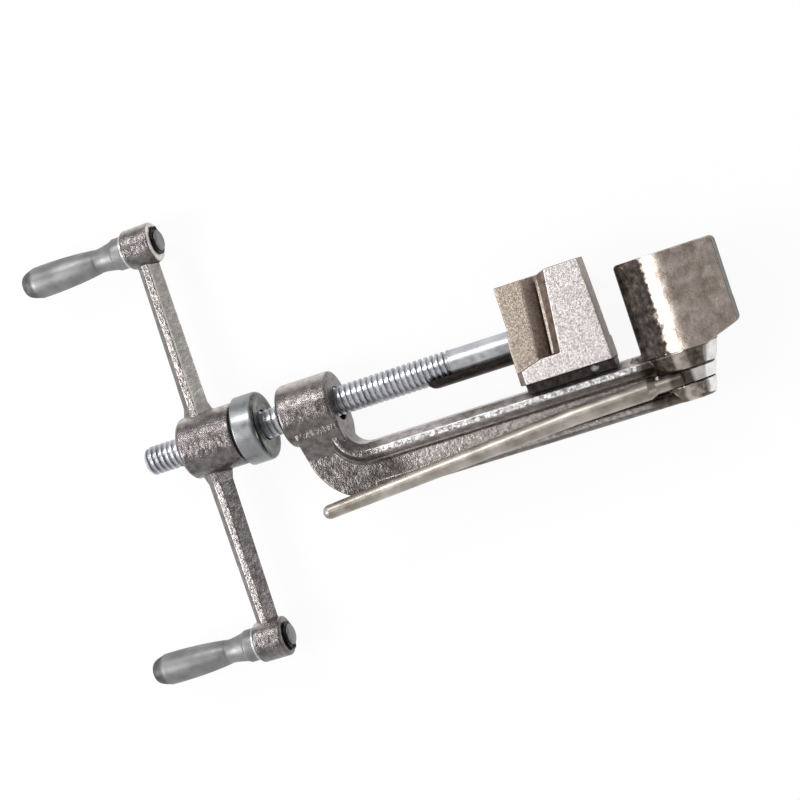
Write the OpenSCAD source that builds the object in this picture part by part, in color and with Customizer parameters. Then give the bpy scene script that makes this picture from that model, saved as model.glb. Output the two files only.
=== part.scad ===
// Screw-type hand banding tool, lying on its side.
// A C-shaped frame casting carries the band slot and the rotary cutter at its
// nose. A two-handled crank is the nut of a pulling screw, whose far end draws
// the slider block along the rail of the frame.
// The screw axis is X, with the nose towards +X. The rail lies on the -Y side.

/* [Tension screw] */
// Crest diameter of the trapezoidal thread
screw_diameter = 15.88; // [10:0.01:24]
// Length of the threaded part, from the free end
thread_length = 182; // [120:1:200]
// Diameter of the plain shank behind the thread
shank_diameter = 15.4; // [9:0.1:20]
// How far the shank reaches into the slider block
shank_seat = 15; // [10:0.5:16]
// Chamfer on the free end of the screw
screw_chamfer = 1.6; // [0.5:0.1:3]
// Free end of the screw that stands out of the crank
stub_length = 24; // [10:1:60]

/* [Crank] */
// Length of the hub along the screw
hub_length = 34.3; // [26:0.1:44]
// Diameter of the hub
hub_diameter = 34.6; // [28:0.2:40]
// Chamfer on the outer edges of the hub
hub_chamfer = 2; // [0.5:0.1:3]
// Distance from the screw axis to each grip axis
arm_reach = 114; // [80:1:150]
// Width of an arm at its middle plane
arm_width = 15.4; // [8:0.2:18]
// Width of the narrow land along the front and back of an arm
arm_land = 4.2; // [2:0.1:6]
// How far the land lies from an arm's middle, towards the grips
land_shift = 0.9; // [0:0.1:2]
// Thickness of an arm from its front land to its back land
arm_depth = 10; // [7:0.5:16]
// How much narrower an arm is at its outer end
arm_taper = 0.85; // [0.7:0.01:1]
// How far the land stands out from the slopes beside it
land_step = 0.7; // [0.2:0.1:1.5]
// Distance from the hub's outer end to the arms' middle plane
arm_offset = 12.6; // [9:0.1:17]
// Distance from the hub's outer end to the bosses of the grips
eye_offset = 3.6; // [0:0.1:6]
// Width of an arm where it leaves the hub
flare_width = 20; // [16:0.5:24]
// Thickness of an arm where it leaves the hub
flare_depth = 14; // [10:0.5:20]
// Length of the flare that joins an arm to the hub
flare_length = 8; // [5:0.5:20]
// Diameter of the boss at the end of each arm
eye_diameter = 22.4; // [18:0.2:30]
// Length of that boss along the grip axis
eye_length = 17.5; // [12:0.5:24]
// Rounding of the edges of that boss
eye_round = 1.6; // [0.5:0.1:3]

/* [Grips] */
// Length of a grip from its washer to its tip
grip_length = 63.5; // [50:1:90]
// Largest diameter of the barrel
grip_diameter = 17.8; // [14:0.2:24]
// Diameter of the slim waist
waist_diameter = 13.3; // [10:0.1:15]
// Diameter of the collar against the washer
collar_diameter = 18.2; // [14:0.1:22]
// Length of that collar
collar_length = 5.4; // [2:0.1:7]
// Distance from the collar's face to the crease where the barrel starts
crease_at = 18.2; // [14:0.5:26]
// Distance from the collar's face to the start of the end taper
taper_at = 55; // [40:0.5:58]
// Diameter of the spindle that turns in the boss
spindle_diameter = 11.6; // [8:0.1:14]
// Thickness of the washer between grip and boss
washer_thickness = 1.2; // [0.8:0.1:2]
// Outer diameter of that washer
washer_diameter = 19; // [14:0.1:22]
// Thickness of the retaining ring
ring_thickness = 1.2; // [0.8:0.1:1.6]
// Radial width of the retaining ring
ring_width = 2.4; // [1.5:0.1:3]
// Depth of the groove that the retaining ring sits in
ring_groove = 0.6; // [0.3:0.05:1]
// Diameter of the round lugs of the retaining ring
lug_diameter = 3.6; // [3:0.1:5]
// Length of spindle that stands out past the retaining ring
spindle_end = 1.6; // [1:0.1:4]

/* [Thrust bearing] */
// Outer diameter of the bearing shell
shell_diameter = 38.6; // [34:0.1:50]
// Width of the bearing shell along the screw
shell_width = 12.2; // [11:0.1:22]
// Wall of the shell around the races
shell_wall = 2.4; // [1.5:0.1:4]
// Rounding of the shell's outer edges
shell_round = 2.2; // [0.5:0.1:3]
// Rounding of the shell's edge towards the boss
face_round = 4; // [2:0.1:5]
// Thickness of the shell's face in front of the races
face_thickness = 1.6; // [1:0.1:3]
// Bore through that face
face_bore = 19; // [17:0.1:26]
// Bore through the races
race_bore = 20.6; // [18:0.1:26]
// Thickness of each race
race_thickness = 3.4; // [3:0.1:6]
// Number of balls
ball_count = 12; // [8:1:14]
// Diameter of a ball
ball_diameter = 4.76; // [4:0.02:5.4]
// Depth of the ball track in each race
track_depth = 0.7; // [0.3:0.05:1.2]
// Thickness of the ball cage
cage_thickness = 1.9; // [1:0.1:3]
// Thickness of the rubber seal between hub and shell
seal_thickness = 1.8; // [1.5:0.1:4]
// How far the seal's rim lies inside the rim of the shell
seal_setback = 1; // [0.2:0.1:1.4]
// How far the seal reaches inwards over the edge of the races
seal_overlap = 0.8; // [0.2:0.1:1.6]
// Free gap between the bearing and the boss of the frame
thrust_gap = 12.4; // [2:0.1:30]

/* [Frame casting] */
// Length of the boss around the screw
boss_length = 31; // [24:1:40]
// Diameter of that boss
boss_diameter = 35; // [30:0.5:44]
// Rounding of the boss's edges
boss_round = 2.2; // [0.5:0.1:4]
// Distance from the screw axis down to the rail's top
rail_drop = 25.8; // [24:0.2:34]
// Distance from the screw axis down to the underside of the beam
beam_drop = 55; // [48:0.5:64]
// Clear length of the throat, from the boss to the nose column
throat_length = 163.5; // [150:0.1:220]
// Corner radius of the throat at the boss end
throat_radius = 10; // [4:0.5:14]
// Width of the rail across the tool
rail_width = 24; // [18:0.5:34]
// Width of the flat along the rail's top
rail_flat = 15; // [10:0.5:20]
// How far the rail's edges slope down
rail_slope = 3.6; // [2:0.1:5]
// Height of the rail's upright side
rail_side = 3.2; // [2:0.1:6]
// Height of the cove under the rail
rail_cove = 2.6; // [1.5:0.1:5]
// Thickness of the web between rail and lower rib
web_thickness = 14; // [8:0.5:18]
// Height of the thin bead where the web starts
web_bead = 1.1; // [0.5:0.1:2]
// Height of the rounded lower rib
rib_height = 7.5; // [5:0.5:12]
// Width of the lower rib across the tool
rib_width = 20.5; // [16:0.5:26]
// Radius of the heel, from the neck's left side round to the underside
heel_radius = 34; // [26:1:42]
// How far the neck and the heel start behind the boss's left end
heel_setback = 5.5; // [2:0.5:9]
// Width of the neck where the boss runs into the web
neck_width = 29; // [20:0.5:32]

/* [Nose] */
// Diameter of the upright column that holds the cutter
column_diameter = 40.4; // [34:0.2:50]
// Diameter of the column's taper where it meets the lever's hub
neck_diameter = 32; // [26:0.2:38]
// Height of the nose above the screw axis
nose_height = 22.5; // [18:0.5:30]
// Depth of the nose block; the tool lies on it and on the bearing shell
nose_depth = 38.6; // [34:0.2:44]
// Length of the front plate past the cutter's axis
front_plate = 34; // [26:0.5:44]
// Length of the rear plate past the cutter's axis
rear_plate = 26; // [20:0.5:34]
// How far the plates reach below the screw axis
plate_drop = 22.6; // [16:0.2:24]
// Height of the slanted corner under the plates
plate_bevel = 6; // [3:0.5:12]
// Rounding of the plates' corners
plate_round = 3; // [1:0.5:6]
// Width of the squared back that the tool lies on
back_width = 24; // [16:1:30]
// Width of the band slot, for two layers of band and the buckle
slot_width = 3; // [1.5:0.1:5]
// Depth of the band slot below the screw axis
slot_drop = 10; // [6:0.5:14]

/* [Cutter and lever] */
// Diameter of the rotary cutter in the column
cutter_diameter = 13; // [10:0.5:16]
// Metal of the nose left above the cutter
cutter_cap = 4.5; // [2:0.5:8]
// Diameter of the lever's hub at its top
lever_hub_diameter = 31.6; // [26:0.2:38]
// Diameter of the lever's hub at its underside
lever_hub_low = 27; // [24:0.2:34]
// Thickness of the lever's hub
lever_hub_height = 7.4; // [6:0.2:12]
// Side clearance of the hub between the ears
hub_side_clearance = 0.3; // [0.1:0.05:0.6]
// Thickness of the lower ear
ear_thickness = 8.6; // [5:0.2:12]
// Diameter of the lower ear at its underside
ear_diameter = 22; // [20:0.2:32]
// Free length of the lever rod
rod_length = 206.5; // [120:1:240]
// Diameter of the lever rod at the hub
rod_diameter = 10.2; // [8:0.1:11]
// Diameter of the lever rod where it is reduced to enter the hub
rod_root_diameter = 7; // [5:0.1:7.4]
// Length of that reduced end
rod_root_length = 17; // [14:0.5:24]
// Diameter of the lever rod at its free end
rod_tip_diameter = 7.8; // [5:0.1:10]
// Distance of the rod in front of the cutter's axis
rod_offset = 15.4; // [15.2:0.1:18]
// Outward lean of the rod, in degrees
rod_lean = 0.6; // [0.5:0.1:4]
// Downward slant of the rod before its bend, in degrees
rod_root_slant = 1.8; // [0:0.1:3]
// Distance from the cutter's axis to the bend
rod_bend_at = 60; // [30:1:90]
// Downward slant of the rod past the bend, in degrees
rod_slant = 4.1; // [0:0.1:4.2]
// Diameter of the pin that fixes the lever to the cutter
lever_pin_diameter = 3; // [2:0.1:4]
// How far that pin reaches past the cutter's axis
pin_reach = 4.6; // [3:0.1:5]

/* [Slider block] */
// Distance from the boss to the slider block
slider_start = 100.8; // [98:0.1:110]
// Length of the slider block along the rail
slider_length = 53; // [40:0.5:60]
// Height of the slider block above the screw axis
slider_height = 32.6; // [24:0.1:40]
// How far the slider's body reaches below the screw axis
slider_drop = 21.8; // [18:0.1:23]
// How far the front jaw stands in front of the screw axis
jaw_front = 19; // [14:0.5:24]
// How far the screw side stands in front of the screw axis
screw_side_front = 13.4; // [11:0.2:16]
// How far the slider reaches behind the screw axis
slider_back = 14; // [11:0.5:18]
// Length of the screw side along the rail
screw_side_length = 18.4; // [17.6:0.2:22]
// How much lower the screw side's top is than the jaw's
screw_side_drop = 1.6; // [0:0.1:6]
// How far the screw side is set back above the screw
upper_setback = 2; // [0:0.1:4]
// Draft of the front jaw's nose end, in degrees
jaw_draft = 3.4; // [0:0.1:5]
// Length of the rounded shoulder at the jaw's top, beside the slit
shoulder_length = 8; // [4:0.5:12]
// Fall of that shoulder
shoulder_drop = 2.9; // [1:0.1:5]
// Width of the slit that the band leaves through
slit_width = 2.2; // [1.5:0.1:4]
// Sideways lean of the slit, in degrees
slit_lean = 5; // [0:0.5:8]
// Width of the slope beside the slit, on the screw side
screw_side_slope = 5.2; // [3:0.1:7]
// Depth of that slope across the tool
slope_depth = 7.2; // [4:0.2:8]
// Width of the slope on the front jaw, at its top
jaw_slope_top = 6.9; // [4:0.1:10]
// Width of that slope at its lower end
jaw_slope_low = 5.8; // [2:0.1:6]
// Height of the solid foot below the slit
foot_height = 11; // [8:0.5:14]
// Bevel at the foot's left corner
foot_bevel = 4; // [1:0.5:5.5]
// Overhang of the front jaw past the rear jaw
rear_jaw_setback = 6; // [1:0.5:8]
// Rounding of the jaw's upper corners
jaw_round = 2; // [0.5:0.5:4]
// How much shorter than the body the slider's base is, at each end
base_inset = 2.4; // [1:0.2:5]
// How far the slider's base reaches down over the rail's edges
skirt_drop = 1.4; // [0.6:0.1:3]
// Running clearance between the slider and the rail
rail_clearance = 0.1; // [0.05:0.01:0.3]
// Wall of the slider's skirt beside the rail
skirt_wall = 0.8; // [0.4:0.1:2]
// Diameter of the pin that holds the screw
screw_pin_diameter = 5; // [3:0.5:6]
// Thickness of the keeper plate behind the rail
keeper_thickness = 3; // [2:0.5:5]
// Diameter of the rivet through the keeper
rivet_diameter = 3.2; // [2.4:0.2:4]
// Distance from the slider's nose end to the rivet
rivet_inset = 13.2; // [8:0.1:20]

/* [Shank cradle] */
// Length of the half sleeve under the shank
cradle_length = 48.3; // [30:0.1:60]
// Wall of the half sleeve
cradle_wall = 2.1; // [1.5:0.1:4]
// Depth of the sleeve's edge below the screw axis
cradle_edge = 4.9; // [3:0.1:6]
// Rounding of the sleeve's free end
cradle_round = 3.6; // [1:0.1:5]

/* [Fits] */
// Radial running clearance of turning parts
running_fit = 0.06; // [0.02:0.01:0.1]
// Radial clearance of the screw in the frame's boss
boss_clearance = 0.4; // [0.2:0.05:1]
// Side clearance of the keeper under the rail
keeper_clearance = 0.4; // [0.2:0.05:1]

/* [Hidden] */
$fn = 96;
eps = 0.01;
big = 400;
// places along the screw axis, from the free end of the screw
hub_x = stub_length;
hub_end = hub_x + hub_length;
seal_x = hub_end + running_fit;
shell_x = seal_x + seal_thickness;
shell_end = shell_x + shell_width;
boss_x = shell_end + thrust_gap;
boss_end = boss_x + boss_length;
cutter_x = boss_end + throat_length + column_diameter / 2;
slider_x = boss_end + slider_start;
slider_end = slider_x + slider_length;
screw_end = slider_x + shank_seat;
// the crank's plane and its grips
arm_x = hub_x + arm_offset;
eye_x = hub_x + eye_offset;
eye_end = eye_x + eye_length;
grip_face = eye_x - washer_thickness;
grip_tip = grip_face - grip_length;
ring_x = eye_end + running_fit;
spindle_reach = ring_x + ring_thickness + spindle_end;
// the bearing, from the hub towards the boss
front_race_end = shell_end - face_thickness;
front_race_x = front_race_end - race_thickness;
ball_x = front_race_x - ball_diameter / 2 + track_depth;
rear_race_end = ball_x - ball_diameter / 2 + track_depth;
race_diameter = shell_diameter - 2 * shell_wall;
seal_diameter = shell_diameter - 2 * seal_setback;
seal_bore = race_diameter - 2 * seal_overlap;
ball_circle = (race_bore + race_diameter) / 4;
// the frame
heel_x = boss_x + heel_setback + heel_radius;
heel_y = heel_radius - beam_drop;
nose_y0 = -beam_drop;
ear_top = nose_y0 + ear_thickness;
slot_top = ear_top + lever_hub_height + 2 * hub_side_clearance;
lever_y = (ear_top + slot_top) / 2;
plate_x1 = cutter_x + front_plate;
plate_x2 = cutter_x + rear_plate;
web_start = rail_slope + rail_side + rail_cove;
lever_slot_x = cutter_x - lever_hub_diameter / 2 - 0.6;
cutter_end = nose_height - cutter_cap - 0.3;
rod_y = lever_y;
// the slider
slit_x = slider_x + screw_side_length;
jaw_x = slit_x + slit_width;
foot_top = -slider_drop + foot_height;
rivet_y = -rail_drop + rivet_diameter / 2 + 0.4;
saddle_y = -rail_drop + rail_clearance;
rear_jaw_end = slider_end - rear_jaw_setback;
rivet_x = slider_end - rivet_inset;
base_half = rail_width / 2 + skirt_wall;
// the whole part sits on the nose's rear plate, centred in plan
mid_x = (grip_tip + plate_x1) / 2;
lift = nose_depth / 2;

// The sub-part to draw

// moves a shape from the screw's own frame to where the part stands
module placed() { translate([-mid_x, 0, lift]) children(); }
// turns a shape made about Z so that its axis runs along X, from x
module along_x(x) { translate([x, 0, 0]) rotate([0, 90, 0]) children(); }
// turns a shape made about Z so that its axis runs along Y, at x and from y
module along_y(x, y) { translate([x, y, 0]) rotate([-90, 0, 0]) children(); }
// a flat profile in Y and Z, carried along X for len
module bar_x(x, len) {
  translate([x, 0, 0]) rotate([90, 0, 90]) linear_extrude(len) children();
}
// a rectangle with rounded corners, exact arcs
module soft_rect(w, h, r) {
  translate([r, 0]) square([w - 2 * r, h]);
  translate([0, r]) square([w, h - 2 * r]);
  for (x = [r, w - r], y = [r, h - r]) translate([x, y]) circle(r);
}
// a round bar along X with rounded ends, made by turning its half profile
module soft_round(x, len, d, r) {
  along_x(x) rotate_extrude() intersection() {
    translate([-d / 2, 0]) soft_rect(d, len, r);
    square([d, len]);
  }
}

// ---- frame casting ----
// the rail's own section: x is the depth into the metal, y runs across
module rail_section() {
  half = rail_width / 2;
  web = web_thickness / 2;
  for (m = [0, 1]) mirror([0, m]) polygon([[0, 0], [0, rail_flat / 2],
    [rail_slope, half], [rail_slope + rail_side, half],
    [web_start - 0.2, web + web_bead + 0.8], [web_start, web + web_bead],
    [web_start + web_bead, web + web_bead], [web_start + 2 * web_bead, web],
    [web_start + 2 * web_bead, 0]]);
}
// the opening of the C, seen from the front
module throat_profile() {
  translate([boss_end, -rail_drop]) {
    translate([throat_radius, 0]) square([big, big]);
    translate([0, throat_radius]) square([big, big]);
    translate([throat_radius, throat_radius]) circle(throat_radius);
  }
}
// the web of the C: down behind the boss, round the heel and along the beam
module web_profile() {
  difference() {
    union() {
      translate([heel_x, heel_y]) circle(heel_radius, $fn = 240);
      translate([heel_x - heel_radius, heel_y]) square([heel_radius, -heel_y]);
      translate([heel_x, -beam_drop])
        square([cutter_x - heel_x, beam_drop - rail_drop]);
    }
    throat_profile();
    square([big, big]);
  }
}
// the rail runs down the throat, round its corner and on to the nose
module rail() {
  corner = throat_radius;
  bar_x(boss_end + corner, cutter_x - boss_end - corner)
    translate([-rail_drop, 0]) mirror([1, 0]) rail_section();
  translate([boss_end, 0, 0]) rotate([90, 0, 0])
    linear_extrude(rail_drop - corner) mirror([1, 0]) rail_section();
  translate([boss_end + corner, -rail_drop + corner, 0]) rotate([0, 0, 180])
    rotate_extrude(angle = 90) translate([corner, 0]) rail_section();
}
// the rounded rib along the underside
module lower_rib() {
  r = rib_height / 2;
  bar_x(heel_x, cutter_x - heel_x) {
    translate([-beam_drop, r - rib_width / 2])
      square([rib_height, rib_width - rib_height]);
    for (s = [-1, 1]) translate([r - beam_drop, s * (rib_width / 2 - r)]) circle(r);
  }
}
// the neck that spreads from the web up into the boss
module boss_neck() {
  intersection() {
    translate([0, 0, -neck_width / 2]) linear_extrude(neck_width) web_profile();
    bar_x(boss_x, boss_length) polygon([[0, neck_width / 2], [0, -neck_width / 2],
      [-boss_diameter / 2 + 4, -neck_width / 2], [-rail_drop, -web_thickness / 2],
      [-rail_drop, web_thickness / 2], [-boss_diameter / 2 + 4, neck_width / 2]]);
  }
}
// the upright column, neck and lower ear, turned about the cutter's axis
module column() {
  r = column_diameter / 2;
  n = neck_diameter / 2;
  along_y(cutter_x, 0) rotate_extrude() polygon([[0, nose_height],
    [r - 1.2, nose_height], [r, nose_height - 1.2], [r, -rail_drop - 1],
    [n, slot_top], [lever_hub_low / 2, ear_top],
    [ear_diameter / 2 + 0.6, nose_y0 + 1.2], [ear_diameter / 2 - 0.8, nose_y0],
    [0, nose_y0]]);
}
// squared back of the column, down to the lower ear, that the tool lies on
module nose_back() {
  translate([cutter_x - back_width / 2, slot_top, -nose_depth / 2])
    cube([back_width, -slot_top, nose_depth / 2]);
}
// outline of a nose plate that reaches x1
module plate_profile(x1) {
  offset(r = plate_round) offset(delta = -plate_round)
    polygon([[cutter_x - 6, nose_height], [x1, nose_height], [x1, -plate_drop],
      [cutter_x + column_diameter / 2 - 4, -plate_drop - plate_bevel],
      [cutter_x - 6, -plate_drop - plate_bevel]]);
}
module nose_plates() {
  linear_extrude(nose_depth / 2) plate_profile(plate_x1);
  translate([0, 0, -nose_depth / 2]) linear_extrude(nose_depth / 2)
    plate_profile(plate_x2);
}
module frame_casting() color([0.56, 0.54, 0.52]) placed() difference() {
  union() {
    soft_round(boss_x, boss_length, boss_diameter, boss_round);
    translate([0, 0, -web_thickness / 2]) linear_extrude(web_thickness) web_profile();
    boss_neck();
    rail();
    lower_rib();
    column();
    nose_plates();
    nose_back();
  }
  // the nose is flat in front and behind, level with its plates
  for (s = [-1, 1]) translate([cutter_x - column_diameter, nose_y0 - 1,
    s > 0 ? nose_depth / 2 : -nose_depth]) cube([2 * column_diameter,
      nose_height - nose_y0 + 2, nose_depth / 2]);
  // bore for the screw, with a keyway for the shank cradle
  along_x(boss_x - 2) cylinder(d = screw_diameter + 2 * boss_clearance,
    h = boss_length + 4);
  intersection() {
    along_x(boss_x - 2) cylinder(h = boss_length + 4,
      d = screw_diameter + 2 * (cradle_wall + boss_clearance + running_fit));
    translate([boss_x - 3, -big - cradle_edge + boss_clearance, -big / 2])
      cube([boss_length + 6, big, big]);
  }
  // bore for the rotary cutter, and the seat of its ring
  along_y(cutter_x, nose_y0 - 1) cylinder(d = cutter_diameter + 2 * running_fit,
    h = nose_height - cutter_cap - nose_y0 + 1);
  along_y(cutter_x, nose_y0 - 1) cylinder(h = 1 + 2.4,
    d = cutter_diameter + 2 * ring_width);
  // gap between the ears for the lever's hub
  translate([lever_slot_x, ear_top, -big / 2]) cube([big, slot_top - ear_top, big]);
  // the band slot, open at the top and at both ends
  translate([cutter_x - big / 4, -slot_drop, -slot_width / 2])
    cube([big / 2, big, slot_width]);
}

// ---- crank ----
// section of an arm without its lands: widest in the middle
module arm_section(w, d) {
  t = arm_land / 2 + land_step / 3;
  translate([-land_shift, 0]) polygon([[land_shift - w / 2, 0], [-t, d / 2 - land_step],
    [t, d / 2 - land_step], [land_shift + w / 2, 0], [t, land_step - d / 2],
    [-t, land_step - d / 2]]);
}
// a straight length of arm between two sections
module arm_length(y0, y1, w0, w1, d0, d1) hull() {
  along_y(arm_x, y0) linear_extrude(eps) arm_section(w0, d0);
  along_y(arm_x, y1) linear_extrude(eps) arm_section(w1, d1);
}
module arm() {
  hub_y = hub_diameter / 2 - 3;
  out_y = hub_y + flare_length;
  // the lands in front and behind, as one slab seen from the side
  bar_x(arm_x - land_shift - arm_land / 2, arm_land) for (m = [0, 1]) mirror([0, m])
    polygon([[0, 0], [0, flare_depth / 2], [hub_y, flare_depth / 2],
      [out_y, arm_depth / 2], [arm_reach, arm_depth * arm_taper / 2], [arm_reach, 0]]);
  arm_length(0, arm_reach, arm_width, arm_width * arm_taper, arm_depth,
    arm_depth * arm_taper);
  arm_length(hub_y, out_y, flare_width, arm_width * 0.97, flare_depth, arm_depth);
}
module eye(y) {
  translate([0, y, 0]) soft_round(eye_x, eye_length, eye_diameter, eye_round);
}
module crank_casting() color([0.5, 0.48, 0.46]) placed() difference() {
  union() {
    along_x(hub_x) rotate_extrude() polygon([[0, 0],
      [hub_diameter / 2 - hub_chamfer, 0], [hub_diameter / 2, hub_chamfer],
      [hub_diameter / 2, hub_length - hub_chamfer],
      [hub_diameter / 2 - hub_chamfer, hub_length], [0, hub_length]]);
    for (m = [0, 1]) mirror([0, m, 0]) {
      arm();
      eye(arm_reach);
    }
  }
  along_x(hub_x - 1) cylinder(d = screw_diameter + 2 * running_fit,
    h = hub_length + 2);
  for (m = [0, 1]) mirror([0, m, 0]) translate([0, arm_reach, 0])
    along_x(eye_x - 1) cylinder(d = spindle_diameter + 2 * running_fit,
      h = eye_length + 2);
}

// ---- grips ----
// half profile of a grip: radius against distance from the collar's face
module grip_profile() {
  r = grip_diameter / 2;
  w = waist_diameter / 2;
  c = collar_diameter / 2;
  barrel = taper_at - crease_at;
  swell = 0.86 * barrel;
  // circle through the crease and tangent at the barrel's widest place
  rise = r - w - 0.3;
  bow = (swell * swell + rise * rise) / (2 * rise);
  polygon([[0, 0], [c - 0.4, 0], [c, 0.4], [c, collar_length], [c - 1.2, collar_length + 2],
    [w + 0.7, collar_length + 7.5], [w, collar_length + 10.5], [w, crease_at],
    [0, crease_at]]);
  intersection() {
    translate([r - bow, crease_at + swell]) circle(bow, $fn = 240);
    translate([0, crease_at - eps]) square([r, barrel + 2 * eps]);
  }
  end_r = r - bow + sqrt(bow * bow - pow(barrel - swell, 2));
  polygon([[0, taper_at], [end_r, taper_at], [end_r - 1.5, grip_length - 3.6],
    [end_r - 2.7, grip_length - 1.3], [end_r - 4.6, grip_length], [0, grip_length]]);
}
module grip(y) {
  translate([0, y, 0]) {
    translate([grip_face, 0, 0]) rotate([0, -90, 0]) rotate_extrude() grip_profile();
    difference() {
      along_x(grip_face - 1) rotate_extrude() polygon([[0, 0],
        [spindle_diameter / 2, 0],
        [spindle_diameter / 2, spindle_reach - grip_face + 0.3],
        [spindle_diameter / 2 - 0.8, spindle_reach - grip_face + 1],
        [0, spindle_reach - grip_face + 1]]);
      along_x(ring_x) difference() {
        cylinder(d = spindle_diameter + 4, h = ring_thickness);
        translate([0, 0, -1]) cylinder(h = ring_thickness + 2,
          d = spindle_diameter - 2 * ring_groove);
      }
    }
  }
}
module grip_washer(y) {
  translate([0, y, 0]) along_x(grip_face) difference() {
    cylinder(d = washer_diameter, h = washer_thickness);
    translate([0, 0, -1]) cylinder(d = spindle_diameter + 2 * running_fit,
      h = washer_thickness + 2);
  }
}
// a retaining ring with two holed lugs either side of its gap, side is 1 or -1
module retaining_ring(x, y, bore, side) {
  lug_at = bore / 2 + lug_diameter / 2 - 0.2;
  translate([0, y, 0]) along_x(x) rotate([0, 0, side * 90]) difference() {
    union() {
      cylinder(d = bore + 2 * ring_width, h = ring_thickness);
      for (a = [-18, 18]) rotate([0, 0, a])
        translate([lug_at, 0, 0]) cylinder(d = lug_diameter, h = ring_thickness);
    }
    translate([0, 0, -1]) cylinder(d = bore, h = ring_thickness + 2);
    translate([0, -0.9, -1]) cube([bore, 1.8, ring_thickness + 2]);
    for (a = [-18, 18]) rotate([0, 0, a])
      translate([lug_at + 0.3, 0, -1]) cylinder(d = 1.4, h = ring_thickness + 2);
  }
}
ring_bore = spindle_diameter - 2 * ring_groove + 0.04;
module upper_grip() color([0.6, 0.62, 0.62]) placed() grip(arm_reach);
module lower_grip() color([0.6, 0.62, 0.62]) placed() grip(-arm_reach);
module upper_washer() color([0.75, 0.76, 0.76]) placed() grip_washer(arm_reach);
module lower_washer() color([0.75, 0.76, 0.76]) placed() grip_washer(-arm_reach);
module upper_ring() color([0.1, 0.1, 0.1]) placed()
  retaining_ring(ring_x, arm_reach, ring_bore, 1);
module lower_ring() color([0.1, 0.1, 0.1]) placed()
  retaining_ring(ring_x, -arm_reach, ring_bore, -1);

// ---- thrust bearing ----
// a cup, open towards the crank, with a bore for the screw through its face
module bearing_shell() color([0.66, 0.69, 0.7]) placed() difference() {
  along_x(shell_x) rotate_extrude() intersection() {
    translate([-shell_diameter / 2, 0])
      soft_rect(shell_diameter, shell_width + big, shell_round);
    translate([-shell_diameter / 2, -big])
      soft_rect(shell_diameter, shell_width + big, face_round);
    square(big);
  }
  along_x(shell_x - 1) cylinder(d = race_diameter + 2 * running_fit,
    h = shell_width - face_thickness + 1);
  along_x(shell_x) cylinder(d = face_bore, h = shell_width + 1);
}
module bearing_seal() color([0.08, 0.08, 0.08]) placed() along_x(seal_x)
  difference() {
    cylinder(d = seal_diameter, h = seal_thickness);
    translate([0, 0, -1]) cylinder(d = seal_bore, h = seal_thickness + 2);
  }
module race(x, len, track) {
  difference() {
    along_x(x) cylinder(d = race_diameter, h = len);
    along_x(x - 1) cylinder(d = race_bore, h = len + 2);
    along_x(track) rotate_extrude() translate([ball_circle, 0])
      circle(d = ball_diameter + 2 * running_fit);
  }
}
module front_race() color([0.4, 0.4, 0.4]) placed()
  race(front_race_x, race_thickness, ball_x);
module rear_race() color([0.4, 0.4, 0.4]) placed() difference() {
  along_x(hub_end) cylinder(d = race_diameter - 1.8, h = rear_race_end - hub_end);
  along_x(hub_end - 1) cylinder(d = race_bore, h = rear_race_end - hub_end + 2);
  along_x(ball_x) rotate_extrude() translate([ball_circle, 0])
    circle(d = ball_diameter + 2 * running_fit);
}
// the cage and the balls that it carries
module ball_cage() color([0.72, 0.6, 0.35]) placed() {
  along_x(ball_x - cage_thickness / 2) difference() {
    cylinder(d = race_diameter - 1.6, h = cage_thickness);
    translate([0, 0, -1]) cylinder(d = race_bore + 1.2, h = cage_thickness + 2);
  }
  for (i = [0:ball_count - 1]) along_x(ball_x) rotate([0, 0, i * 360 / ball_count])
    translate([ball_circle, 0, 0]) sphere(d = ball_diameter);
}

// ---- screw, slider and what joins them ----
module tension_screw() color([0.62, 0.64, 0.66]) placed() difference() {
  along_x(0) rotate_extrude() polygon([[0, 0],
    [screw_diameter / 2 - screw_chamfer, 0], [screw_diameter / 2, screw_chamfer],
    [screw_diameter / 2, thread_length - 1], [shank_diameter / 2, thread_length],
    [shank_diameter / 2, screw_end], [0, screw_end]]);
  translate([slider_x + shank_seat / 2, 0, -slider_back - 1])
    cylinder(d = screw_pin_diameter + 2 * running_fit, h = slider_back + screw_side_front - 3);
}
module screw_pin() color([0.3, 0.3, 0.3]) placed()
  translate([slider_x + shank_seat / 2, 0, -slider_back])
    cylinder(d = screw_pin_diameter, h = slider_back + screw_side_front - 5);
module shank_cradle() color([0.3, 0.28, 0.27]) placed() intersection() {
  difference() {
    along_x(slider_x - cradle_length) cylinder(h = cradle_length,
      d = screw_diameter + 2 * (cradle_wall + running_fit));
    along_x(slider_x - cradle_length - 1) cylinder(h = cradle_length + 2,
      d = screw_diameter + 2 * running_fit);
  }
  translate([slider_x - cradle_length, -big / 2 - cradle_edge, -big / 4])
    linear_extrude(big / 2) difference() {
      square([cradle_length, big / 2]);
      translate([0, big / 2 - screw_diameter / 2 - cradle_wall + cradle_edge])
        difference() {
          translate([-1, -1]) square([cradle_round + 1, cradle_round + 1]);
          translate([cradle_round, cradle_round]) circle(cradle_round);
        }
    }
}
// how far the slit has leaned over at height y
function lean_x(y) = (y - foot_top) * tan(slit_lean);
// where the jaw's drafted nose end lies at height y
function drafted_end(y) = slider_end - (y + slider_drop) * tan(jaw_draft);
// front outline of the side that holds the screw
module screw_side_profile() {
  reach = screw_side_length + slit_width + lean_x(slider_height);
  intersection() {
    translate([slider_x, -slider_drop])
      soft_rect(reach, slider_drop + slider_height - screw_side_drop, 1.4);
    polygon([[slider_x, -slider_drop], [slider_x, 0],
      [slider_x + upper_setback, screw_diameter / 2],
      [slider_x + upper_setback, slider_height], [slider_end, slider_height],
      [slider_end, -slider_drop]]);
  }
}
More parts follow.
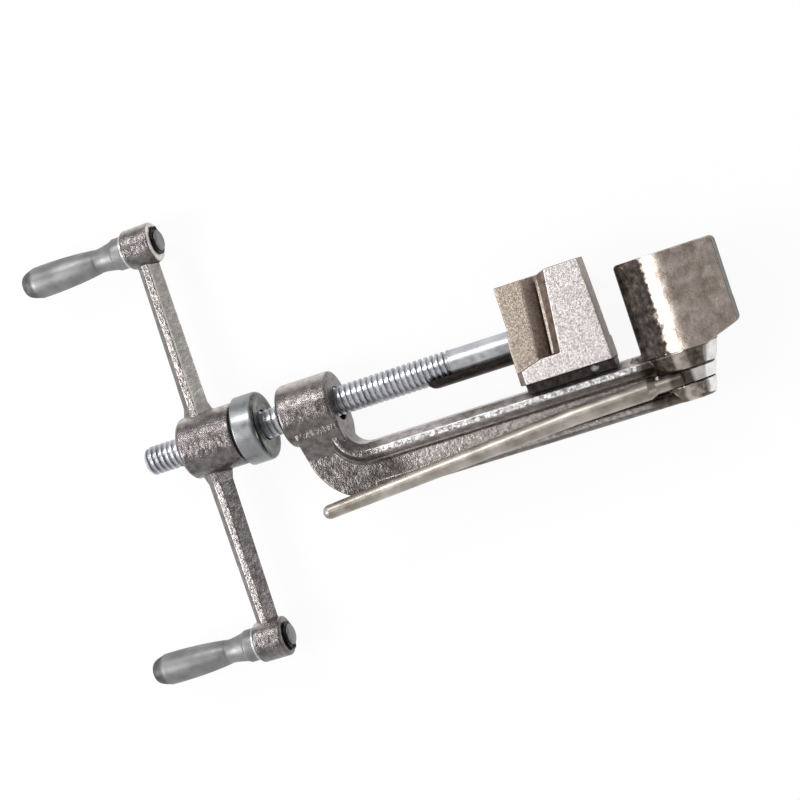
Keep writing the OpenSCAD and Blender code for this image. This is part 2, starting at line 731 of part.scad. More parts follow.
// a slope beside the slit, cut from sections at the foot and above the top
module slit_slope(side, low, top, front) {
  high = slider_height + 3;
  edge = slit_x + (side > 0 ? slit_width : 0);
  hull() for (e = [[foot_top, low], [high, top]])
    translate([edge + lean_x(e[0]), e[0] + eps, 0]) rotate([90, 0, 0])
      linear_extrude(eps) polygon([[-side, jaw_front + 2],
        [-side, front - slope_depth], [0, front - slope_depth],
        [side * e[1], front], [side * e[1], jaw_front + 2]]);
}
// the jaw in front of the band, sloping towards the slit
module front_jaw() {
  edge = slit_x + slit_width;
  top = edge + lean_x(slider_height);
  difference() {
    translate([0, 0, slot_width / 2]) linear_extrude(jaw_front - slot_width / 2)
      intersection() {
        translate([slit_x, -slider_drop])
          soft_rect(slider_end - slit_x, slider_drop + slider_height, jaw_round);
        polygon([[edge, -slider_drop], [slider_end, -slider_drop],
          [drafted_end(slider_height), slider_height],
          [top + shoulder_length, slider_height],
          [top + shoulder_length * 0.42, slider_height - shoulder_drop * 0.34],
          [top, slider_height - shoulder_drop], [edge, foot_top]]);
      }
    slit_slope(1, jaw_slope_low, jaw_slope_top, jaw_front);
  }
}
// the solid foot below the slit, bevelled at its left end
module foot() {
  intersection() {
    translate([0, 0, -slider_back]) linear_extrude(slider_back + jaw_front)
      polygon([[slider_x, -slider_drop], [slider_end, -slider_drop],
        [slider_end, foot_top], [slit_x - 3, foot_top], [slider_x, foot_top - 4.4]]);
    translate([0, foot_top + 1, 0]) rotate([90, 0, 0])
      linear_extrude(foot_height + 2) polygon([[slider_x, -slider_back],
        [slider_x, screw_side_front], [slider_x + foot_bevel, jaw_front],
        [slider_end, jaw_front], [slider_end, -slider_back]]);
  }
}
module slider_block() color([0.6, 0.58, 0.56]) placed() difference() {
  union() {
    // the side that holds the screw
    translate([0, 0, -slider_back])
      linear_extrude(slider_back + screw_side_front) screw_side_profile();
    front_jaw();
    // the jaw behind the band
    translate([slit_x, -slider_drop, -slider_back])
      linear_extrude(slider_back - slot_width / 2)
        soft_rect(rear_jaw_end - slit_x, slider_drop + slider_height - 4.5, jaw_round);
    foot();
    // the base that rides the rail
    translate([slider_x + base_inset, -rail_drop - skirt_drop, -base_half])
      cube([slider_length - 2 * base_inset, rail_drop + skirt_drop - slider_drop,
        2 * base_half]);
  }
  // the front jaw stands out past everything behind the band
  translate([rear_jaw_end, -big / 2, -big])
    cube([big, big, big - slot_width / 2]);
  slit_slope(-1, screw_side_slope, screw_side_slope, screw_side_front);
  // slit to the front, and the band slot behind the front jaw
  translate([0, 0, -slot_width / 2]) linear_extrude(big) polygon([
    [slit_x, foot_top], [slit_x + slit_width, foot_top],
    [slit_x + slit_width + lean_x(big), big], [slit_x + lean_x(big), big]]);
  translate([slit_x, foot_top, -slot_width / 2]) cube([big / 4, big / 4, slot_width]);
  // seat of the screw, and its pin
  along_x(slider_x - 1) cylinder(d = shank_diameter + 2 * running_fit,
    h = shank_seat + 1 + running_fit);
  translate([slider_x + shank_seat / 2, 0, -slider_back - 1])
    cylinder(d = screw_pin_diameter + 2 * running_fit,
      h = slider_back + screw_side_front - 3);
  // saddle over the rail
  bar_x(slider_x - 1, slider_length + 2) polygon([
    [saddle_y, -rail_flat / 2], [saddle_y, rail_flat / 2],
    [saddle_y - rail_slope, rail_width / 2 + rail_clearance],
    [-2 * beam_drop, rail_width / 2 + rail_clearance],
    [-2 * beam_drop, -rail_width / 2 - rail_clearance],
    [saddle_y - rail_slope, -rail_width / 2 - rail_clearance]]);
  // rivet hole
  translate([rivet_x, rivet_y, -big / 2])
    cylinder(d = rivet_diameter + 2 * running_fit, h = big);
}
// plate behind the base, with a lip that hooks under the rail
module rail_keeper() color([0.45, 0.44, 0.43]) placed() difference() {
  edge = -rail_drop - rail_slope - rail_side;
  half = rail_width / 2;
  bar_x(slider_x + base_inset + 1, slider_length - rear_jaw_setback - base_inset - 3)
    polygon([
    [-slider_drop, -base_half], [-slider_drop, -base_half - keeper_thickness],
    [edge - rail_cove - 2, -base_half - keeper_thickness],
    [edge - rail_cove - 2, -half + 2.4], [edge - rail_cove + 0.2, -half + 2.4],
    [edge - keeper_clearance, -half - keeper_clearance / 2],
    [edge + 1, -base_half]]);
  translate([rivet_x, rivet_y, -big / 2])
    cylinder(d = rivet_diameter + 2 * running_fit, h = big);
}
// rivet through keeper and base, its head in front
module keeper_rivet() color([0.8, 0.8, 0.8]) placed()
  translate([rivet_x, rivet_y, 0]) {
    translate([0, 0, -base_half - keeper_thickness])
      cylinder(d = rivet_diameter, h = 2 * base_half + keeper_thickness);
    translate([0, 0, base_half]) cylinder(d1 = rivet_diameter + 1.2,
      d2 = rivet_diameter - 0.8, h = 1.1);
  }

// ---- cutter and lever ----
module rotary_cutter() color([0.35, 0.34, 0.33]) placed() difference() {
  along_y(cutter_x, nose_y0 + 0.4) cylinder(d = cutter_diameter,
    h = cutter_end - nose_y0 - 0.4);
  // the band passes through it
  translate([cutter_x - cutter_diameter, -slot_drop, -slot_width / 2])
    cube([2 * cutter_diameter, big, slot_width]);
  // groove of the ring
  along_y(cutter_x, nose_y0 + 0.9) difference() {
    cylinder(d = 2 * cutter_diameter, h = ring_thickness);
    translate([0, 0, -1]) cylinder(h = ring_thickness + 2,
      d = cutter_diameter - 2 * ring_groove);
  }
  lever_pin_hole();
}
// hole of the cross pin, from the back of the lever's hub through the cutter
module lever_pin_hole() translate([cutter_x, lever_y, -lever_hub_diameter / 2 - 1])
  cylinder(d = lever_pin_diameter + 2 * running_fit,
    h = lever_hub_diameter / 2 + 1 + pin_reach);
// radius of the rod at distance d from the cutter's axis
function rod_radius(d) = (rod_diameter + (rod_tip_diameter - rod_diameter)
  * (d - rod_root_length) / (rod_length - rod_root_length)) / 2;
// the rod: two turned lengths that meet in a slight bend, with a reduced root
module rod() {
  root = rod_root_diameter / 2;
  tip = rod_tip_diameter / 2;
  bend = rod_radius(rod_bend_at);
  rest = rod_length - rod_bend_at;
  translate([cutter_x, rod_y, rod_offset]) rotate([0, rod_lean, rod_root_slant]) {
    rotate([0, -90, 0]) rotate_extrude() polygon([[0, 1.2], [root - 0.5, 1.2],
      [root, 1.7], [root, rod_root_length - 1.5],
      [rod_radius(rod_root_length), rod_root_length + 2.5], [bend, rod_bend_at],
      [0, rod_bend_at]]);
    translate([-rod_bend_at, 0, 0]) {
      sphere(bend);
      rotate([0, 0, rod_slant - rod_root_slant]) rotate([0, -90, 0])
        rotate_extrude() {
          polygon([[0, 0], [bend, 0], [tip, rest - tip], [0, rest - tip]]);
          intersection() {
            translate([0, rest - tip]) circle(tip);
            translate([0, rest / 2]) square([rod_diameter, rest]);
          }
        }
    }
  }
}
module cutter_lever() color([0.7, 0.69, 0.6]) placed() difference() {
  r = lever_hub_diameter / 2;
  low = lever_hub_low / 2;
  h = lever_hub_height;
  union() {
    along_y(cutter_x, ear_top + hub_side_clearance) rotate_extrude()
      polygon([[0, 0], [low - 0.6, 0], [low, 0.6], [r, h - 0.6], [r - 0.6, h], [0, h]]);
    rod();
  }
  along_y(cutter_x, ear_top - 1) cylinder(d = cutter_diameter + 2 * running_fit,
    h = h + 4);
  lever_pin_hole();
}
module lever_pin() color([0.3, 0.3, 0.3]) placed()
  translate([cutter_x, lever_y, -lever_hub_low / 2])
    cylinder(d = lever_pin_diameter, h = lever_hub_low / 2 + pin_reach - 0.3);
module cutter_ring() color([0.1, 0.1, 0.1]) placed()
  along_y(cutter_x, nose_y0 + 0.9) difference() {
    bore = cutter_diameter - 2 * ring_groove + 0.04;
    cylinder(d = bore + 2 * (ring_width - 0.6), h = ring_thickness);
    translate([0, 0, -1]) cylinder(d = bore, h = ring_thickness + 2);
    translate([0, -3, -1]) cube([bore, 6, ring_thickness + 2]);
  }

frame_casting();
crank_casting();
tension_screw();
slider_block();
shank_cradle();
screw_pin();
rail_keeper();
keeper_rivet();
bearing_shell();
bearing_seal();
front_race();
rear_race();
ball_cage();
upper_grip();
upper_washer();
upper_ring();
lower_grip();
lower_washer();
lower_ring();
rotary_cutter();
cutter_lever();
lever_pin();
cutter_ring();
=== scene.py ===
import bpy
import numpy as np
from mathutils import Matrix, Vector


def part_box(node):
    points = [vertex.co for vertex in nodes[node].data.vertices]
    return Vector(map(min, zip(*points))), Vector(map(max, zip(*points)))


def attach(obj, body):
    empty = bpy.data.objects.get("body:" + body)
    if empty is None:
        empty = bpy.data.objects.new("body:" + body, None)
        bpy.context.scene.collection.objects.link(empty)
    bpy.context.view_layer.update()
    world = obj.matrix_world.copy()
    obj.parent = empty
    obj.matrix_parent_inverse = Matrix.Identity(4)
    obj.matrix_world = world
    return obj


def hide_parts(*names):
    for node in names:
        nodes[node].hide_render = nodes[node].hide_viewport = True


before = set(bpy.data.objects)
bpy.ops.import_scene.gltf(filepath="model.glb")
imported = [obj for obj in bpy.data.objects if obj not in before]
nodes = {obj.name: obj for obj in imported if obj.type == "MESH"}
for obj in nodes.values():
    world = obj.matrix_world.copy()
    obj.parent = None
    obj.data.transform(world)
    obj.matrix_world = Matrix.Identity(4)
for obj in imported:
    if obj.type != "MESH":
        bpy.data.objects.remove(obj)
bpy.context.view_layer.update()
mm = 0.001
weldReach = 0.01 * mm  # points of a solid this near each other are one


# sRGB hex to linear: c / 12.92 up to 0.04045, else ((c + 0.055) / 1.055) to the power 2.4
def toLinear(hexColour):
    raw = np.array([int(hexColour[i:i + 2], 16) for i in (1, 3, 5)]) / 255
    linear = np.where(raw <= 0.04045, raw / 12.92, ((raw + 0.055) / 1.055) ** 2.4)
    return (*[float(c) for c in linear], 1.0)


# adds a node, sets its own properties and inputs, and links each input that is given as a
# socket, or as another node, whose first output it takes
def addNode(tree, kind, inputs=(), **settings):
    node = tree.nodes.new("ShaderNode" + kind)
    for name, value in settings.items():
        setattr(node, name, value)
    for key, value in dict(inputs).items():
        if isinstance(value, bpy.types.Node):
            value = value.outputs[0]
        if isinstance(value, bpy.types.NodeSocket):
            tree.links.new(value, node.inputs[key])
        else:
            node.inputs[key].default_value = value
    return node


# quads between neighbouring points of a grid of rows by columns. The columns wrap round,
# and where they do, a row meets the row that lies shift further on
def gridFaces(rows, columns, shift=0):
    r, c = np.meshgrid(np.arange(rows - 1), np.arange(columns), indexing="ij")
    wrapped = (c + 1) // columns
    a = r * columns + c
    b = (r + shift * wrapped) * columns + (c + 1) % columns
    keep = (r + 1 + shift * wrapped) < rows
    return np.stack([a, b, b + columns, a + columns], -1)[keep]


# a mesh object that rides on a body, stands for CAD nodes and has its finish
def meshPiece(sizes, mesh, finish, smooth=True):
    piece = bpy.data.objects.new(sizes["piece"], mesh)
    bpy.context.scene.collection.objects.link(piece)
    mesh.polygons.foreach_set("use_smooth", [smooth] * len(mesh.polygons))
    mesh.materials.clear()
    mesh.materials.append(finish)
    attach(piece, sizes["body"])
    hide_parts(sizes["node"])
    print(sizes["piece"], len(mesh.polygons), "faces")


# the mesh of an object once its modifiers are worked out
def finishedMesh(work):
    bpy.context.view_layer.update()
    mesh = bpy.data.meshes.new_from_object(
        work.evaluated_get(bpy.context.evaluated_depsgraph_get()))
    bpy.data.objects.remove(work)
    return mesh


# a mesh of the points, an array of any shape whose last axis is x, y, z, and the faces
def meshFrom(points, faces):
    mesh = bpy.data.meshes.new("shape")
    mesh.from_pydata(points.reshape(-1, 3).tolist(), [], faces)
    mesh.update()
    return mesh


# rounds a profile's corners: each corner is replaced by points of the quadratic curve
# (1-t)^2 a + 2 t (1-t) corner + t^2 b, with a and b its cut lengths away along both sides
def roundedProfile(corners, steps=6):
    t = np.linspace(0, 1, steps)[:, None]
    spots = np.array([c[:2] for c in corners], float)
    rows = [spots[:1]]
    for i in range(1, len(corners) - 1):
        cut = corners[i][2]
        before, after = spots[i - 1] - spots[i], spots[i + 1] - spots[i]
        a = spots[i] + before * min(0.49, cut / np.hypot(*before))
        b = spots[i] + after * min(0.49, cut / np.hypot(*after))
        rows.append((1 - t) ** 2 * a + 2 * t * (1 - t) * spots[i] + t ** 2 * b)
    rows.append(spots[-1:])
    return np.concatenate(rows)


# a closed ring of (distance along X, radius) turned about an X line through y and z:
# point = (x, y + radius * sin(turn), z + radius * cos(turn)); both ends lie on the axis
# and are closed by one flat face each
def turnedSolid(profile, y, z, steps=96):
    turn = np.linspace(0, 2 * np.pi, steps, endpoint=False)
    x, radius = np.asarray(profile, float).T
    rings = np.stack([np.repeat(x[:, None], steps, 1), y + radius[:, None] * np.sin(turn),
                      z + radius[:, None] * np.cos(turn)], -1)
    sides = gridFaces(len(x), steps)[:, ::-1].tolist()
    last = (len(x) - 1) * steps
    return rings, [list(range(steps))] + sides + [list(range(last + steps - 1, last - 1, -1))]


# the same turning, point = (x, y + radius * sin(turn), z + radius * cos(turn)), for a closed
# loop of (distance along X, radius), such as a ring's section
def turnedRing(loop, y, z, steps=128):
    rings, faces = turnedSolid(loop, y, z, steps)
    last, first = (len(loop) - 1) * steps, np.arange(steps)
    after = (first + 1) % steps
    seam = np.stack([last + first, first, after, last + after], -1)[:, ::-1]
    return rings, faces[1:-1] + seam.tolist()


# a material with its colour, metallic and roughness on the shader's own sockets; a metal
# keeps the default IOR
def newMaterial(name, rough, metallic=1.0, colour="#808080"):
    material = bpy.data.materials.new(name)
    material.use_nodes = True
    shader = material.node_tree.nodes["Principled BSDF"]
    shader.inputs["Base Color"].default_value = toLinear(colour)
    shader.inputs["Metallic"].default_value = metallic
    shader.inputs["Roughness"].default_value = rough
    return material, material.node_tree, shader


# the object's own coordinates, stretched along an axis where a lay runs across it
def ownPlace(tree, stretch=(1, 1, 1)):
    return addNode(tree, "Mapping", {"Vector": addNode(tree, "TexCoord").outputs["Object"],
                                     "Scale": stretch})


# soft step of a value from 0 at low to 1 at high, or from 1 down to 0 where low is above high
def softStep(tree, value, low, high):
    up = addNode(tree, "MapRange", {"Value": value, "From Min": min(low, high),
                                    "From Max": max(low, high)},
                 interpolation_type="SMOOTHSTEP")
    return up if low < high else addNode(tree, "Math", {0: 1.0, 1: up}, operation="SUBTRACT")


# colour between two hex values by a noise of the given size in millimetres
def mottled(tree, place, low, high, size, detail=4.0, spread=(0.32, 0.66)):
    noise = addNode(tree, "TexNoise", {"Vector": place, "Scale": 1 / (size * mm),
                                       "Detail": detail})
    ramp = addNode(tree, "ValToRGB", {"Fac": noise})
    for element, position, colour in zip(ramp.color_ramp.elements, spread, (low, high)):
        element.position, element.color = position, toLinear(colour)
    return ramp


# 1 where every soft step of the object's own coordinates (or normals) is 1.
# A step is (Object or Normal, axis, value at 0, value at 1), in metres; ragged moves its
# place by a noise of about 4 mm
def zoneMask(tree, zone):
    mask, ragged = None, zone.get("ragged", 0.0)
    for source, axis, low, high in zone["where"]:
        place = addNode(tree, "TexCoord").outputs[source]
        value = addNode(tree, "SeparateXYZ", {"Vector": place}).outputs[axis]
        if ragged and source == "Normal":
            noise = addNode(tree, "TexNoise", {"Vector": ownPlace(tree), "Detail": 4.0,
                                               "Scale": 1 / (4 * mm)})
            level = addNode(tree, "Math", {0: value, 1: ragged / 2}, operation="SUBTRACT")
            value = addNode(tree, "Math", {0: noise, 1: ragged, 2: level},
                            operation="MULTIPLY_ADD")
        step = softStep(tree, value, low, high)
        mask = step if mask is None else addNode(tree, "Math", {0: mask, 1: step},
                                                 operation="MULTIPLY")
    return mask


# what every sand-cast skin shares: sizes of its patches, clumps and relief in mm, how deep
# its pits are against its grain, and how far roughness and bump go either way
sandSkin = {"patch": 3.5, "clump": 6, "relief": 0.22, "pitDepth": 0.35, "glossier": 0.05,
            "duller": 0.09, "smoothest": 0.3, "roughest": 1.5}


# nickel-plated steel cast in green sand: the plating follows every grain of the mould, so
# each grain gives its own small glint, in clumps, and the metal between looks dark and warm.
# The grain of moulding sand is about 0.3 mm; it is drawn at grain mm, as coarse as shows.
# Each zone then takes the finish over where its mask is 1
def castMaterial(name, s):
    material, tree, shader = newMaterial(name, s["rough"])
    place = ownPlace(tree)
    colour = mottled(tree, place, s["shade"], s["tint"], sandSkin["patch"])
    grain = addNode(tree, "TexNoise", {"Vector": place, "Scale": 1 / (s["grain"] * mm),
                                       "Detail": 2.5, "Roughness": 0.65})
    wobble = addNode(tree, "TexNoise", {"Vector": place, "Scale": 1 / (s["wobble"] * mm),
                                        "Detail": 2.0})
    pits = addNode(tree, "TexVoronoi", {"Vector": place, "Scale": 1 / (1.7 * s["grain"] * mm)},
                   feature="SMOOTH_F1")
    pitted = addNode(tree, "Math", {0: pits, 1: sandSkin["pitDepth"]}, operation="MULTIPLY")
    height = addNode(tree, "Math", {0: grain, 1: pitted}, operation="SUBTRACT")
    rough = addNode(tree, "MapRange", {"Value": grain, "From Min": 0.3, "From Max": 0.7,
                                       "To Min": s["rough"] - sandSkin["glossier"],
                                       "To Max": s["rough"] + sandSkin["duller"]})
    clumps = addNode(tree, "TexNoise", {"Vector": place, "Scale": 1 / (sandSkin["clump"] * mm)})
    uneven = addNode(tree, "MapRange", {"Value": clumps, "From Min": 0.35, "From Max": 0.65,
                                        "To Min": sandSkin["smoothest"],
                                        "To Max": sandSkin["roughest"]})
    strength = addNode(tree, "Math", {0: uneven, 1: s["bump"]}, operation="MULTIPLY")
    wave = addNode(tree, "Math", {0: wobble, 1: s["wave"]}, operation="MULTIPLY")
    for zone in s.get("zones", ()):
        mask = zoneMask(tree, zone)
        skin = mottled(tree, place, zone["shade"], zone["tint"], zone["size"])
        colour = addNode(tree, "MixRGB", {"Fac": mask, "Color1": colour, "Color2": skin})
        change = addNode(tree, "Math", {0: zone["bump"], 1: strength}, operation="SUBTRACT")
        strength = addNode(tree, "Math", {0: mask, 1: change, 2: strength},
                           operation="MULTIPLY_ADD")
        rough = addNode(tree, "Math", {0: mask, 1: zone["rough"] - s["rough"], 2: rough},
                        operation="MULTIPLY_ADD")
        if "wave" in zone:
            dents = addNode(tree, "TexNoise", {"Vector": place, "Detail": 2.0,
                                               "Scale": 1 / (zone["wobble"] * mm)})
            dented = addNode(tree, "Math", {0: dents, 1: zone["wave"]}, operation="MULTIPLY")
            change = addNode(tree, "Math", {0: dented, 1: wave}, operation="SUBTRACT")
            wave = addNode(tree, "Math", {0: mask, 1: change, 2: wave}, operation="MULTIPLY_ADD")
    height = addNode(tree, "Math", {0: height, 1: strength, 2: wave}, operation="MULTIPLY_ADD")
    bump = addNode(tree, "Bump", {"Height": height, "Strength": 1.0,
                                  "Distance": sandSkin["relief"] * mm})
    tree.links.new(colour.outputs[0], shader.inputs["Base Color"])
    tree.links.new(bump.outputs[0], shader.inputs["Normal"])
    tree.links.new(rough.outputs[0], shader.inputs["Roughness"])
    return material


# turned steel: a fine lay of tool marks round the X axis. Real feed marks are 0.1 mm
# apart; they are drawn at lay mm so that they show
def turnedMaterial(name, tint, shade, rough, bumpStrength=0.15, zones=(), lay=0.35, patch=12):
    material, tree, shader = newMaterial(name, rough)
    place, longer = ownPlace(tree), 40  # a mark is this many times as long as it is wide
    tooled = addNode(tree, "TexNoise", {"Vector": ownPlace(tree, (longer, 1, 1)),
                                        "Scale": 1 / (longer * lay * mm)})
    bump = addNode(tree, "Bump", {"Height": tooled, "Strength": bumpStrength,
                                  "Distance": 0.05 * mm})
    scuffs = addNode(tree, "TexNoise", {"Vector": place, "Scale": 1 / (3 * mm), "Detail": 5.0})
    colour = mottled(tree, place, shade, tint, patch)
    spread = addNode(tree, "MapRange", {"Value": scuffs, "From Min": 0.3, "From Max": 0.7,
                                        "To Min": rough - 0.05, "To Max": rough + 0.08})
    for zone in zones:
        mask = zoneMask(tree, zone)
        skin = mottled(tree, place, zone["shade"], zone["tint"], zone["size"])
        colour = addNode(tree, "MixRGB", {"Fac": mask, "Color1": colour, "Color2": skin})
        spread = addNode(tree, "Math", {0: mask, 1: zone["rough"] - rough, 2: spread},
                         operation="MULTIPLY_ADD")
    tree.links.new(bump.outputs[0], shader.inputs["Normal"])
    tree.links.new(colour.outputs[0], shader.inputs["Base Color"])
    tree.links.new(spread.outputs[0], shader.inputs["Roughness"])
    return material


frameLow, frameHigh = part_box("frame_casting")
sliderLow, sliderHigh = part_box("slider_block")
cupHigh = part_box("bearing_shell")[1]
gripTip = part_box("upper_grip")[0]
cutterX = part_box("rotary_cutter")[0].x

# where one finish meets the next, in mm: nose from the frame's right end; bend and web from
# its left end; neckTop, railFoot, stripeLow, stripeHigh, webTop and armRoot across the
# screw, from its axis; and noseFlat and armFace above the floor
marks = {"nose": 58, "bend": 42, "web": 52, "webFull": 70, "neckTop": -28.3, "railFoot": -36.5,
         "stripeLow": -33, "stripeHigh": -29.2, "webTop": -36, "noseFlat": 32,
         "armFace": 27.5, "armRoot": 15}
noseX = frameHigh.x - marks["nose"] * mm
bendX = frameLow.x + marks["bend"] * mm
neckY, railY = marks["neckTop"] * mm, marks["railFoot"] * mm
stripeY, stripeTopY = marks["stripeLow"] * mm, marks["stripeHigh"] * mm
webY, flatZ = marks["webTop"] * mm, marks["noseFlat"] * mm
armZ, armY = marks["armFace"] * mm, marks["armRoot"] * mm

# the nose is ground and polished before plating, so it is smoother, with shallow dents, and
# the neck below it is darker. The upright side of the rail is rubbed bright by the slider,
# so that each grain glints, and the recessed web beside it is paler than the heel. The
# castings' upper sides, away from the rail, are painted pale: a painted sheen, with smoother
# grain
nose = [("Object", 0, noseX, noseX + 6 * mm)]
neck = nose + [("Object", 1, neckY, neckY - 0.4 * mm)]
facing = ("Normal", 2, 0.9, 0.98)
rail = [("Object", 0, bendX, bendX + 12 * mm), ("Object", 1, railY, railY + 1 * mm)]
# upper faces painted pale by their normal: a painted sheen, the reflection of the bright tent
paintedTopSheen = {"where": [("Normal", 1, 0.7, 0.98)], "tint": "#D8D1CC", "shade": "#A8A09B",
            "size": 3, "bump": 0.35, "rough": 0.36}
frameZones = [
    paintedTopSheen,
    {"where": [facing, ("Object", 1, webY, webY - 2 * mm),
               ("Object", 0, frameLow.x + marks["web"] * mm,
                frameLow.x + marks["webFull"] * mm)],
     "tint": "#D0C9C7", "shade": "#989190", "size": 2, "bump": 0.7, "rough": 0.34},
    {"where": rail, "tint": "#E2DBD9", "shade": "#B0A9A7", "size": 4, "bump": 0.3,
     "rough": 0.34},
    {"where": rail + [facing, ("Object", 1, stripeY, stripeY + 0.6 * mm),  # its bright side
                      ("Object", 1, stripeTopY, stripeTopY - 0.6 * mm)],
     "tint": "#FFFFFF", "shade": "#6C6664", "size": 1.9, "bump": 1.4, "rough": 0.24},
    {"where": nose, "tint": "#90867D", "shade": "#5B544E", "size": 5, "bump": 0.15,
     "rough": 0.26, "wobble": 6, "wave": 1.6},
    {"where": nose + [("Object", 2, flatZ, flatZ + 3 * mm)],  # the nose's front
     "tint": "#CFC2B9", "shade": "#9F9084", "size": 6, "bump": 0.25, "rough": 0.26},
    {"where": nose + [("Normal", 0, -0.4, -0.5)], "ragged": 0.26,  # its left side, painted dark: painted shade
     "tint": "#4A423E", "shade": "#221E1C", "size": 4, "bump": 0.3, "rough": 0.3},
    {"where": nose + [("Normal", 0, 0.4, 0.7)],  # its end face, painted dark: painted shade
     "tint": "#6A615B", "shade": "#49423E", "size": 4, "bump": 0.3, "rough": 0.35},
    {"where": neck, "tint": "#6F665F", "shade": "#3F3934", "size": 3, "bump": 0.2,
     "rough": 0.24},
    {"where": neck + [("Object", 0, cutterX + 2.5 * mm, cutterX + 5 * mm),  # its stripe, painted pale: a painted highlight running on from the column's
                      ("Object", 0, cutterX + 12 * mm, cutterX + 9 * mm)],
     "tint": "#D0C6BE", "shade": "#9C9087", "size": 3, "bump": 0.3, "rough": 0.28},
    {"where": neck + [("Normal", 0, 0.6, 0.8)],  # its end: painted white, a painted highlight, and smoother
     "tint": "#FFFFFF", "shade": "#D0CBC7", "size": 4, "bump": 0.2, "rough": 0.2}]
frameFinish = {"tint": "#868180", "shade": "#605B58", "grain": 0.8, "wobble": 2.6, "wave": 1.2,
               "rough": 0.26, "bump": 0.8, "zones": frameZones}

# the flat front of the crank's arms glints grain by grain, and the upper arm's side away
# from the grips is smooth and painted pale: a painted reflection
landZone = {"where": [facing, ("Object", 2, armZ, armZ - 1 * mm)], "tint": "#B9B3B0",
            "shade": "#6B6664", "size": 1.6, "bump": 0.8, "rough": 0.28}
# right-facing side of the upper arm painted pale: a painted reflection
paintedLitArmSide = {"where": [("Normal", 0, 0.4, 0.7), ("Object", 1, armY, armY + 2 * mm)],
           "tint": "#EBE6E0", "shade": "#C8C3BD", "size": 3, "bump": 0.25, "rough": 0.45}
crankFinish = {"tint": "#868181", "shade": "#635E5D", "grain": 0.8, "wobble": 2.4, "wave": 1.3,
               "rough": 0.26, "bump": 0.85, "zones": [paintedTopSheen, paintedLitArmSide, landZone]}

# the slider's front is blasted bright with grit, most on the jaw beside the nose; its sides
# keep the brown cast skin, and the base below the jaws is painted near black: painted shade
faceNormal, sideNormal = ("Normal", 2, 0.82, 0.95), ("Normal", 0, 0.25, 0.5)
slitX = sliderLow.x + 26 * mm
baseY = sliderLow.y + 5.4 * mm
jawZ = sliderHigh.z - 3 * mm
sliderZones = [
    {"where": [sideNormal], "tint": "#AFA298", "shade": "#83766D", "size": 2, "bump": 0.5,
     "rough": 0.45},
    {"where": [sideNormal, ("Object", 0, slitX + 2 * mm, slitX)],  # the slit's pale slope
     "tint": "#D9CCC0", "shade": "#A99C91", "size": 1.5, "bump": 0.5, "rough": 0.6},
    {"where": [faceNormal], "tint": "#CDBFB4", "shade": "#8D7F73", "size": 1.0, "bump": 0.9,
     "rough": 0.5},
    {"where": [faceNormal, ("Object", 2, jawZ, jawZ + 2 * mm)],  # the jaw's bright front
     "tint": "#F8F3F2", "shade": "#AFA5A4", "size": 0.9, "bump": 0.9, "rough": 0.42},
    # the base below the jaws: painted shade
    {"where": [("Object", 1, baseY + 0.5 * mm, baseY)], "tint": "#4C4643",
     "shade": "#2A2624", "size": 3, "bump": 0.3, "rough": 0.4}]
sliderFinish = {"tint": "#9B8D84", "shade": "#6D615A", "grain": 0.6, "wobble": 1.8, "wave": 0.5,
                "rough": 0.42, "bump": 0.45, "zones": sliderZones}

# phosphated steel looks brown-black and dull, with the same cast or forged skin; on the
# shank cradle and the rail keeper, under the screw and on the slider's base, the near-black
# is painted shade as well
darkFinishAndShade = {"tint": "#4A4340", "shade": "#2C2826", "grain": 0.8, "wobble": 2.4, "wave": 0.6,
              "rough": 0.42, "bump": 0.35}

# the pressed cup's dished face is painted darker than its outside: painted shade of the recess;
# it is also shinier
cupFace = {"where": [("Object", 0, cupHigh.x - 2.2 * mm, cupHigh.x - 0.5 * mm)],
           "tint": "#6E6E6C", "shade": "#3E3E3D", "size": 2.5, "rough": 0.2}
# the grips' tips are painted darker: painted shade
paintedShadeTip = {"where": [("Object", 0, gripTip.x + 9 * mm, gripTip.x + 6 * mm)],
           "tint": "#6E6F6F", "shade": "#4E4F4F", "size": 3, "rough": 0.55}
# the lever's hub is painted near white where it faces out, a painted highlight, and is smoother;
# where the rod runs into the neck it is painted dark, painted shade; the rod is duller and a
# little brown
paintedShadeRodEnd = {"where": [("Object", 0, cutterX - 3 * mm, cutterX)], "tint": "#6B625A",
          "shade": "#4A433D", "size": 4, "rough": 0.35}
paintedHighlightHubEnd = {"where": [("Object", 0, cutterX + 9 * mm, cutterX + 12 * mm)], "tint": "#FAF9F7",
          "shade": "#E2E0DC", "size": 6, "rough": 0.2}

# zinc gives a cool bright sheen with clear tool marks, and nickel a warm smooth one; the
# satin grips and cup spread their highlights wide; oxide leaves the rings nearly black, and
# ground races stay grey and sharp
frameCasting = castMaterial("nickelPlatedSandCasting", frameFinish)
crankCasting = castMaterial("nickelPlatedCrankCasting", crankFinish)
sliderCasting = castMaterial("gritBlastedSliderCasting", sliderFinish)
darkSteelAndShade = castMaterial("phosphatedDarkSteelAndShade", darkFinishAndShade)
zincSteel = turnedMaterial("zincPlatedTurnedSteel", "#CDCFD3", "#A7A9AD", 0.36)
cupSteel = turnedMaterial("satinZincPlatedCup", "#A2A4A6", "#85878A", 0.34, 0.06, [cupFace])
gripSteel = turnedMaterial("satinTurnedGripSteel", "#969696", "#737373", 0.48, 0.16, [paintedShadeTip])
leverSteel = turnedMaterial("smoothNickelLeverSteel", "#BFB9B1", "#938B81", 0.4, 0.04,
                            [paintedShadeRodEnd, paintedHighlightHubEnd])
blackSteel = turnedMaterial("blackOxideSpringSteel", "#2B2A29", "#1C1B1B", 0.4, 0.1)
bearingSteel = turnedMaterial("groundBearingSteel", "#77777A", "#5A5A5C", 0.25, 0.1)
